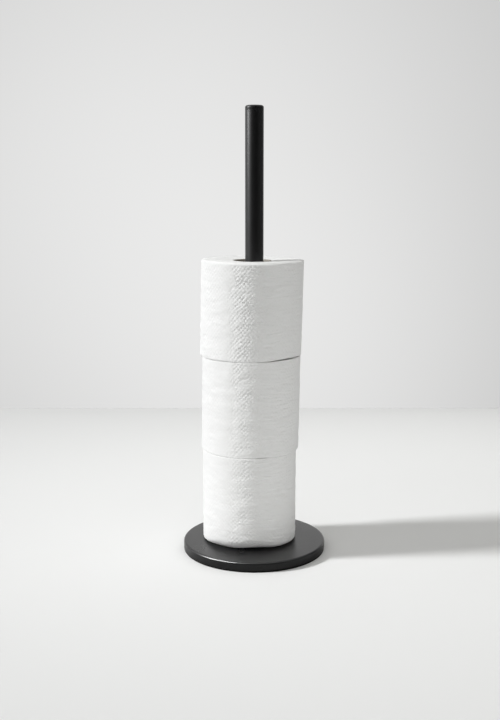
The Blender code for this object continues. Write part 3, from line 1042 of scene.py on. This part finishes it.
def roll_point(roll, radius, angle, share):
    """World places from distances from the axis, angles and shares of the height (0 is the foot)."""
    reach = np.clip((radius - roll.core_radius) / (roll.radius - roll.core_radius), 0, 1)
    outside = np.clip((radius - (roll.radius - LIFT_WIDTH)) / LIFT_WIDTH, 0, 1) ** 2
    up, inwards = foot_rounding(roll, radius, angle, share)
    x = (radius - inwards) * np.cos(angle) - roll.slip * (1 - share) * reach
    y = (radius - inwards) * np.sin(angle)
    foot = roll.foot + up - FOOT_HANG * outside
    for middle, half_width, height in FOOT_LIFTS[roll.name]:
        foot = foot + height * outside * window(angle, middle, half_width)
    near_rim = np.clip(radius - (roll.radius - TOP_ROUNDING_WIDTH), 0, None) / TOP_ROUNDING_WIDTH
    drop = np.interp(np.degrees(angle), *TOP_ROUNDINGS[roll.name], period=360) * MM
    top = roll.top - drop * near_rim**2 - roll.tilt * x
    top = top - roll.dish * (1 - reach) ** DISH_POWER
    return np.stack(np.broadcast_arrays(roll.x + x, roll.y + y, foot + share * (top - foot)), -1)


print("a soft roll's shape ready")

# %% [markdown]
# ### The wound paper
#
# The ends of a roll show the edges of its layers. Rings inside each other would be easy, but a roll is
# wound as a spiral, and its section grows by one layer in each turn: after a full turn, every layer lies
# exactly where the next one started. The mesh is built that way, from a first to a last column. A
# Geometry Nodes tree then moves each layer's edge in or out, by a noise that runs along the strip, sinks
# a groove between the layers, and merges the last column with the first, one layer on.

# %% A tree for the edges of wound layers
LAYER_SAMPLES = 3
MERGE_DISTANCE = 0.00002


def make_layers_tree():
    tree, given = new_tree("wound_layers", ("Wander", "Wander Turns", "Groove"))
    along = calc(tree, "ADD", ("DIVIDE", stored(tree, "layer"), given["Wander Turns"]), given["Seed"])
    along = {"W": along, "Scale": 1.0, "Detail": 3.0}
    wander = add_node(tree, "ShaderNodeTexNoise", along, noise_dimensions="1D").outputs["Fac"]
    depth = calc(tree, "MULTIPLY", wander, given["Wander"])
    groove = calc(tree, "MULTIPLY", stored(tree, "groove"), given["Groove"])
    inward = calc(tree, "MULTIPLY", ("ADD", depth, groove), stored(tree, "end"))
    moved = push(tree, given["Geometry"], inward, vector_of(tree, Z=-1.0))
    merged = {"Geometry": moved, "Distance": MERGE_DISTANCE}
    end_tree(tree, add_node(tree, "GeometryNodeMergeByDistance", merged).outputs[0], given)
    return tree


layers_tree = make_layers_tree()
print("wound layers tree:", len(layers_tree.nodes), "nodes")

# %% [markdown]
# The single plies are too thin for the mesh, so the finish of the ends carries their finer spiral as
# relief. Its phase comes from the distance to the roll's own axis, which a Mapping node puts at zero,
# less the angle.

# %% Finish of the layer edges
TISSUE_COLOR = (0.88, 0.88, 0.875)
PLY_PITCH = 0.0003
PLY_DEPTH = 0.00005
PLY_SHARE = 0.4


def edge_finish(roll):
    material, tree, shader, place = start_finish(roll.name + "_tissue_edges", TISSUE_COLOR, 0.95)
    inputs = {"Vector": place, "Location": (-roll.x, -roll.y, 0)}
    parts = split(tree, add_node(tree, "ShaderNodeMapping", inputs).outputs[0])
    away = vector_calc(tree, "LENGTH", vector_of(tree, X=parts["X"], Y=parts["Y"]), result="Value")
    turns = calc(tree, "DIVIDE", ("ARCTAN2", parts["Y"], parts["X"]), 2 * math.pi)
    phase = calc(tree, "SUBTRACT", ("DIVIDE", away, PLY_PITCH), turns)
    plies = remap(tree, calc(tree, "SINE", ("MULTIPLY", phase, 2 * math.pi)), -1.0, 1.0, 0.0, 1.0)
    fuzz = noise(tree, place, size=0.0009, detail=5.0)
    shade = calc(tree, "ADD", ("MULTIPLY", plies, PLY_SHARE), ("MULTIPLY", fuzz, 1 - PLY_SHARE))
    # The ends, top and foot, are the tissue's own white painted a little lighter than the outer sheet:
    # painted light for the top face, which catches the fill from above.
    vary_color(tree, shader, shade, (0.90, 0.90, 0.895), (0.95, 0.95, 0.945))
    vary_roughness(tree, shader, fuzz, 0.88, 0.99)
    relief = add_relief(tree, shader, plies, PLY_DEPTH)
    add_relief(tree, shader, fuzz, PLY_DEPTH, relief)
    return material


print("plies:", PLY_PITCH / MM, "mm apart")

# %% [markdown]
# One section goes out over the top's layers, down the wall and back over the foot's layers. It is
# carried round once while it grows by a layer. Where the spiral starts and ends, two small steps stay
# open, at the bore and under the free edge, and one face closes each of them.

# %% Build the wound paper of each roll
OUTER_SHEET = 0.00075
UNDER_SHEET_GAP = SHEET_STEP / 12
WINDING_COLUMNS = 160
WALL_ROWS = 12


def section_of(roll):
    """One section down its outer side: radius, share of height, layer, groove and end of each point."""
    outer = roll.radius - OUTER_SHEET - UNDER_SHEET_GAP
    layers = int((outer - roll.core_radius - HOLE_ROOM) / SHEET_STEP)
    steps = np.arange(layers * LAYER_SAMPLES + 1)
    layer = steps / LAYER_SAMPLES
    radius = outer - (layers - layer) * SHEET_STEP
    groove = (steps % LAYER_SAMPLES == 0).astype(float)
    face = np.stack([radius, np.ones_like(radius), layer, groove, np.ones_like(radius)], 1)
    foot = face[::-1] * (1, 0, 1, 1, -1)
    shares = np.linspace(1, 0, WALL_ROWS + 2)[1:-1]
    wall = np.array([(outer, share, layers, 0, 0) for share in shares])
    return np.concatenate([face, wall, foot]), len(steps)


def step_faces(rows, samples):
    """The two faces that close the spiral's steps, at the bore and at the outside."""
    last = WINDING_COLUMNS * rows
    one = LAYER_SAMPLES
    bore_step = [*range(one), last, last + rows - 1, *range(rows - one, rows)]
    outer_step = [*range(last + samples - 1 - one, last + rows - samples + 1 + one)]
    return [bore_step, outer_step + [*range(rows - samples - 1, samples - 1, -1)]]


def make_winding(roll):
    section, samples = section_of(roll)
    turn = np.linspace(0, 1, WINDING_COLUMNS + 1)[:, None]
    radius = section[:, 0] + SHEET_STEP * turn
    points = roll_point(roll, radius, FREE_EDGE + 2 * np.pi * turn, section[:, 1])
    faces = grid_quads(WINDING_COLUMNS + 1, len(section), False, True).tolist()
    faces += step_faces(len(section), samples)
    winding = new_piece(roll.name + "_wound_paper", points.reshape(-1, 3), faces, edge_finish(roll))
    for name, column in (("layer", 2), ("groove", 3), ("end", 4)):
        values = np.broadcast_to(section[:, column], radius.shape)
        store(winding, name, values + (turn if name == "layer" else 0))
    sizes = {"Wander": 0.00022, "Wander Turns": 0.9, "Groove": 0.00007, "Seed": roll.seed}
    run_tree(winding, layers_tree, {**sizes, "Material": winding.data.materials[0]})
    weld(winding)
    return winding


for roll in rolls:
    dress(make_winding(roll), roll.winding, "tissue", roll.name + "_paper")

# %% [markdown]
# ### The outer sheet
#
# The last turn of the strip is its own piece, because it carries the pattern that is pressed into the
# tissue. It stands for the strip's last few layers together, three quarters of a millimetre thick, goes
# round once and laps over its own start. The tree reads two values that each point carries, how far it
# lies along the strip and how high, and presses a diamond lattice, a line of perforations between two
# sheets, and the slow waves of soft paper. Two more values say where the lattice is pressed firmly and
# where the sheet ripples: the photograph shows the lattice crisp at the front and the ripples on the
# right, while the side that faces the lamp is nearly smooth.

# %% A tree for embossed tissue
DOT_SPACING = 0.0042
DOT_ROW_SPACING = 0.0024
SHEET_LENGTH = 0.120
DRIFT_SIZE = 1 / 90  # the lattice drifts in patches about 11 mm wide
HALF = (0.5, 0.5, 0.5)
FIRM_PATCH_SIZE = 0.009
# Ranges: (from low, from high, to low, to high)
FIRM_PATCHES = (0.35, 0.62, 0.3, 1.0)
PERFORATION_WIDTH = (0.0002, 0.0007, 1.0, 0.0)
PERFORATION_SLITS = (0.1, 0.2, 0.0, 1.0)
WAVE_STRETCH = 1.5
RIPPLE_STRETCH = 5.0


def lattice(tree, given, sheet):
    """1 in the middle of each dot and 0 between the dots, on a diamond lattice that drifts a little."""
    pulled = noise(tree, sheet, DRIFT_SIZE, result="Color")
    pulled = vector_calc(tree, "SUBTRACT", pulled, HALF)
    pulled = vector_calc(tree, "SCALE", pulled, Scale=given["Drift"])
    pulled = split(tree, vector_calc(tree, "ADD", sheet, pulled))
    across = calc(tree, "DIVIDE", pulled["X"], given["Dot Spacing"])
    climb = calc(tree, "DIVIDE", pulled["Y"], ("MULTIPLY", given["Row Spacing"], 2.0))
    dots = 0.5
    for operation in ("ADD", "SUBTRACT"):
        wave = calc(tree, "COSINE", ("MULTIPLY", (operation, across, climb), 2 * math.pi))
        dots = calc(tree, "MULTIPLY_ADD", wave, 0.25, dots)
    return dots


def swell(tree, along, up, seeded, stretch, size, amount):
    """Noise on the sheet, stretched along it, as a height on both sides of zero."""
    vector = vector_of(tree, X=calc(tree, "DIVIDE", along, stretch), Y=up, Z=seeded)
    inputs = {"Vector": vector, "Scale": calc(tree, "DIVIDE", 1.0, size), "Detail": 2.0}
    blobs = add_node(tree, "ShaderNodeTexNoise", inputs).outputs["Fac"]
    return calc(tree, "MULTIPLY", ("SUBTRACT", blobs, 0.5), amount)


def perforation(tree, given, up):
    """The depth of the slits, on a line across the strip at each sheet's end."""
    from_tear = calc(tree, "DIVIDE", stored(tree, "from_tail"), given["Sheet Length"])
    aside = calc(tree, "MULTIPLY", ("PINGPONG", from_tear, 0.5), given["Sheet Length"])
    slits = calc(tree, "PINGPONG", ("DIVIDE", up, DOT_ROW_SPACING), 0.5)
    slits = remap(tree, slits, *PERFORATION_SLITS)
    slit = calc(tree, "MULTIPLY", remap(tree, aside, *PERFORATION_WIDTH), slits)
    return calc(tree, "MULTIPLY", slit, given["Perforation Depth"])


def make_emboss_tree():
    sizes = ("Dot Spacing", "Row Spacing", "Dot Depth", "Rise", "Wave", "Wave Size", "Ripple")
    sizes = (*sizes, "Ripple Size", "Drift", "Sheet Length", "Perforation Depth", "Deepest")
    tree, given = new_tree("embossed_tissue", sizes)
    along, up, outside = (stored(tree, name) for name in ("along", "up", "outside"))
    sheet = vector_of(tree, X=along, Y=up, Z=given["Seed"])
    dots = lattice(tree, given, sheet)
    seeded = calc(tree, "ADD", up, given["Seed"])
    firm = remap(tree, noise(tree, sheet, FIRM_PATCH_SIZE), *FIRM_PATCHES)
    pressed = calc(tree, "MULTIPLY", ("MULTIPLY", dots, firm), stored(tree, "pressed"))
    height = calc(tree, "SUBTRACT", given["Rise"], ("MULTIPLY", pressed, given["Dot Depth"]))
    waves = swell(tree, along, up, seeded, WAVE_STRETCH, given["Wave Size"], given["Wave"])
    height = calc(tree, "ADD", height, waves)
    ripples = swell(tree, along, up, seeded, RIPPLE_STRETCH, given["Ripple Size"], given["Ripple"])
    height = calc(tree, "MULTIPLY_ADD", ripples, stored(tree, "rippled"), height)
    height = calc(tree, "ADD", height, stored(tree, "crease"))
    height = calc(tree, "SUBTRACT", height, perforation(tree, given, up))
    height = calc(tree, "MAXIMUM", height, ("MULTIPLY", given["Deepest"], -1.0))
    end_tree(tree, push(tree, given["Geometry"], calc(tree, "MULTIPLY", height, outside)), given)
    return tree


emboss_tree = make_emboss_tree()
print("embossed tissue tree:", len(emboss_tree.nodes), "nodes")

# %% [markdown]
# Creases could come from noise, but it puts them where the photograph has none. So they are listed one
# by one. Each is a line on the unrolled sheet, from one point to another, measured along from the front of
# the roll and up from its foot. The sheet bulges or sinks along it, and the crease fades at its ends.

# %% Creases
# (start along, start up, end along, end up, half width, height) in millimetres
CREASES = {
    "bottom_roll": [
        (-8, 30, -3, 36, 1.5, -0.12),
        (12, 70, 22, 73, 1.6, -0.10),
        (-10, 12, 4, 8, 1.8, 0.14),
    ],
    "middle_roll": [
        (-16, 84, -4, 92, 2.0, 0.30),
        (-14, 80, 0, 86, 1.6, -0.22),
        (-6, 78, 14, 75, 1.8, -0.16),
        (8, 8, 32, 2, 1.2, -0.26),
        (4, 6, 24, 3, 1.0, 0.20),
        (-2, 2, 20, 1, 1.0, -0.20),
        (-2, 44, 4, 58, 1.6, 0.12),
        (16, 62, 34, 58, 1.6, -0.10),
    ],
    "top_roll": [
        (-1, 67, 5, 71, 0.9, 0.42),
        (-4, 66, 1, 69, 0.7, -0.30),
        (-5, 62.5, -0.5, 65.5, 0.8, 0.36),
        (-12.5, 60, -6, 65, 0.8, 0.32),
        (-12, 59.5, -6, 63, 0.6, -0.25),
        (-11, 58, -4, 61.5, 0.8, 0.32),
        (0, 59, 3.5, 61.5, 0.8, 0.36),
        (-2, 57, 2, 60, 0.7, -0.25),
        (3.5, 45, -1, 37, 0.9, 0.35),
        (4.5, 44, 0.5, 36, 0.8, -0.25),
        (2.5, 26, -0.5, 17, 0.9, 0.30),
        (-16, 88, -2, 94, 1.6, 0.20),
        (5, 84, 14, 86, 3.0, -0.30),
        (6, 38, 26, 34, 1.5, 0.10),
        (8, 30, 28, 28, 1.5, -0.10),
    ],
}
CREASE_ENDS = (0.06, 0.94)  # shares of its length beyond which a crease no longer fades


def crease_height(name, along_front, up):
    """The sum of a roll's creases at points of its sheet, in metres."""
    total = np.zeros(np.broadcast(along_front, up).shape)
    for start_x, start_y, end_x, end_y, half_width, height in CREASES[name]:
        run = np.array((end_x - start_x, end_y - start_y)) * MM
        length = np.hypot(*run)
        dx, dy = along_front - start_x * MM, up - start_y * MM
        share = (dx * run[0] + dy * run[1]) / length**2
        inside = np.clip(share, 0, 1)
        aside = np.hypot(dx - inside * run[0], dy - inside * run[1])
        fade_out = np.sin(np.pi * np.clip(inside, *CREASE_ENDS))
        total += height * MM * fade_out * np.exp(-((aside / (half_width * MM)) ** 2))
    return total


print("creases:", sum(len(v) for v in CREASES.values()))

# %% [markdown]
# Tissue is matt, with a faint sheen from its loose fibres. Its surface is crêped: very fine ridges that
# run up the roll, too fine for the mesh, which a noise stretched along the sheet's own height gives as
# relief. The pattern has to follow the strip round the roll, so it reads the sheet's UV map, which is in
# metres along and up the strip.

# %% Finish of the outer sheet
CREPE_STRETCH = (1.0, 0.3, 1.0)

tissue, tree, shader, place = start_finish("white_tissue", TISSUE_COLOR, 0.95)
shader.inputs["Specular IOR Level"].default_value = 0.25
shader.inputs["Sheen Weight"].default_value = 0.08
shader.inputs["Sheen Roughness"].default_value = 0.5
on_strip = add_node(tree, "ShaderNodeUVMap", uv_map="strip").outputs["UV"]
stretched = add_node(tree, "ShaderNodeMapping", {"Vector": on_strip, "Scale": CREPE_STRETCH}).outputs[0]
crepe = noise(tree, stretched, size=0.0006, detail=4.0)
fibres = noise(tree, place, size=0.0011, detail=6.0)
vary_color(tree, shader, fibres, (0.84, 0.84, 0.835), (0.91, 0.91, 0.905))
vary_roughness(tree, shader, fibres, 0.88, 0.99)
relief = add_relief(tree, shader, crepe, depth=0.00007)
add_relief(tree, shader, fibres, 0.00006, relief)
print("tissue ready")

# %% [markdown]
# The sheet's own mesh: its section goes down the outside in fine rows, back up the inside in a few rows,
# and closes over the upper edge. The rows and the columns are whole fractions of the distance between
# the dots, so that every dot is sampled alike. The free end was torn off at a perforation, which leaves
# small teeth, and it lifts a little from the roll.

# %% Where the outer sheet's points lie
LAP = 0.010
COLUMN_STEP = DOT_SPACING / 6
ROW_STEP = DOT_ROW_SPACING / 4
INNER_ROWS = 5
EDGE_CURL = 0.0001
EDGE_CURL_REACH = 0.0012
TAIL_LIFT = 0.0006
TAIL_LIFT_REACH = 0.006
TOOTH = 0.0004
TOOTH_ROWS = 4


def sheet_grid(roll):
    """Distance along the strip, share of the height, height, and 1 on the outside, for each point."""
    columns = round((roll.around + LAP) / COLUMN_STEP) + 1
    rows = round((roll.top - roll.foot) / ROW_STEP) + 1
    along = np.arange(columns)[:, None] * COLUMN_STEP
    share = np.concatenate([np.linspace(1, 0, rows), np.linspace(0, 1, INNER_ROWS)])
    outside = np.concatenate([np.ones(rows), np.zeros(INNER_ROWS)])
    return along, share, share * (rows - 1) * ROW_STEP, outside


def sheet_points(roll, along, share, up, outside):
    turn = along / roll.around
    from_tail = along[-1, 0] - along
    tail = np.clip(1 - from_tail / TAIL_LIFT_REACH, 0, 1) ** 2
    curl = EDGE_CURL * np.exp(-np.minimum(up, up.max() - up) / EDGE_CURL_REACH)
    radius = roll.radius + SHEET_STEP * turn + TAIL_LIFT * tail - curl - OUTER_SHEET * (1 - outside)
    teeth = TOOTH * (np.arange(share.size) % TOOTH_ROWS < TOOTH_ROWS / 2)
    angle = FREE_EDGE + 2 * np.pi * turn
    angle = angle - teeth / roll.radius * (from_tail < COLUMN_STEP / 2)
    return roll_point(roll, radius, angle, share).reshape(-1, 3)


print(f"sheet mesh: {COLUMN_STEP / MM:.2f} by {ROW_STEP / MM:.2f} mm")

# %% [markdown]
# The section is carried along the strip, and the two cut ends are closed with one face each. Then the
# points get what the tree reads, and the faces get the UV map that the finish reads.

# %% Build the outer sheet of each roll
# Strength of the pressed lattice and of the ripples, at millimetres along the sheet from the front
FIRM_AT = (-80, -45, -26, -17, 6, 16, 60, 80)
PRESSED = (0.6, 0.4, 0.3, 1.1, 1.1, 0.3, 0.35, 0.6)
RIPPLED = (0.6, 0.25, 0.2, 0.5, 1.9, 3.2, 2.0, 0.6)
PLAIN_EDGE = 0.0008  # the pattern fades out this close to the sheet's edges
SHEET_SHARP_DEGREES = 60
EMBOSSING = {
    "Dot Spacing": DOT_SPACING,
    "Row Spacing": DOT_ROW_SPACING,
    "Rise": 0.00032,
    "Drift": 0.0042,
    "Wave": 0.0012,
    "Wave Size": 0.014,
    "Ripple": 0.00060,
    "Ripple Size": 0.0030,
    "Sheet Length": SHEET_LENGTH,
    "Perforation Depth": 0.00015,
    "Deepest": 0.00058,
    "Material": tissue,
}


def add_strip_map(sheet, along, up):
    """The UV map of the sheet, in metres along and up the strip."""
    uv = sheet.data.uv_layers.new(name="strip")
    corners = np.zeros(len(sheet.data.loops), np.int32)
    sheet.data.loops.foreach_get("vertex_index", corners)
    flat = np.stack([values.ravel() for values in np.broadcast_arrays(along, up)], 1)
    uv.data.foreach_set("uv", flat[corners].astype(np.float32).ravel())


def make_sheet(roll):
    along, share, up, outside = sheet_grid(roll)
    columns, loop = along.size, share.size
    faces = grid_quads(columns, loop, False, True).tolist()
    faces += [list(range(loop))[::-1], list(range((columns - 1) * loop, columns * loop))]
    points = sheet_points(roll, along, share, up, outside)
    sheet = new_piece(roll.name + "_outer_sheet", points, faces, tissue, SHEET_SHARP_DEGREES)
    along_front = along - roll.around / 2
    from_edge = np.minimum(up, up.max() - up)
    values = {
        "along": along,
        "up": up,
        "outside": outside * np.clip(from_edge / PLAIN_EDGE, 0, 1),
        "from_tail": along[-1, 0] - along,
        "crease": crease_height(roll.name, along_front, up),
        "pressed": np.interp(along_front / MM, FIRM_AT, PRESSED),
        "rippled": np.interp(along_front / MM, FIRM_AT, RIPPLED),
    }
    for name, value in values.items():
        store(sheet, name, np.broadcast_to(value, (columns, loop)))
    add_strip_map(sheet, along, up)
    run_tree(sheet, emboss_tree, {**EMBOSSING, "Dot Depth": roll.dot_depth, "Seed": roll.seed})
    return sheet


for roll in rolls:
    dress(make_sheet(roll), roll.winding, "tissue", roll.name + "_paper")

# %% [markdown]
# ## The dressed model's size
#
# The boxes of the imported model and of the dressed one are compared, and how far the dressed one
# goes past the imported one is printed.

# %% Write the sizes and finish
low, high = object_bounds()
growth = [round((a - b) / MM, 2) for a, b in zip((*cad_low, *high), (*low, *cad_high))]
print("the dressed model goes past the packed one by, in mm:", growth)
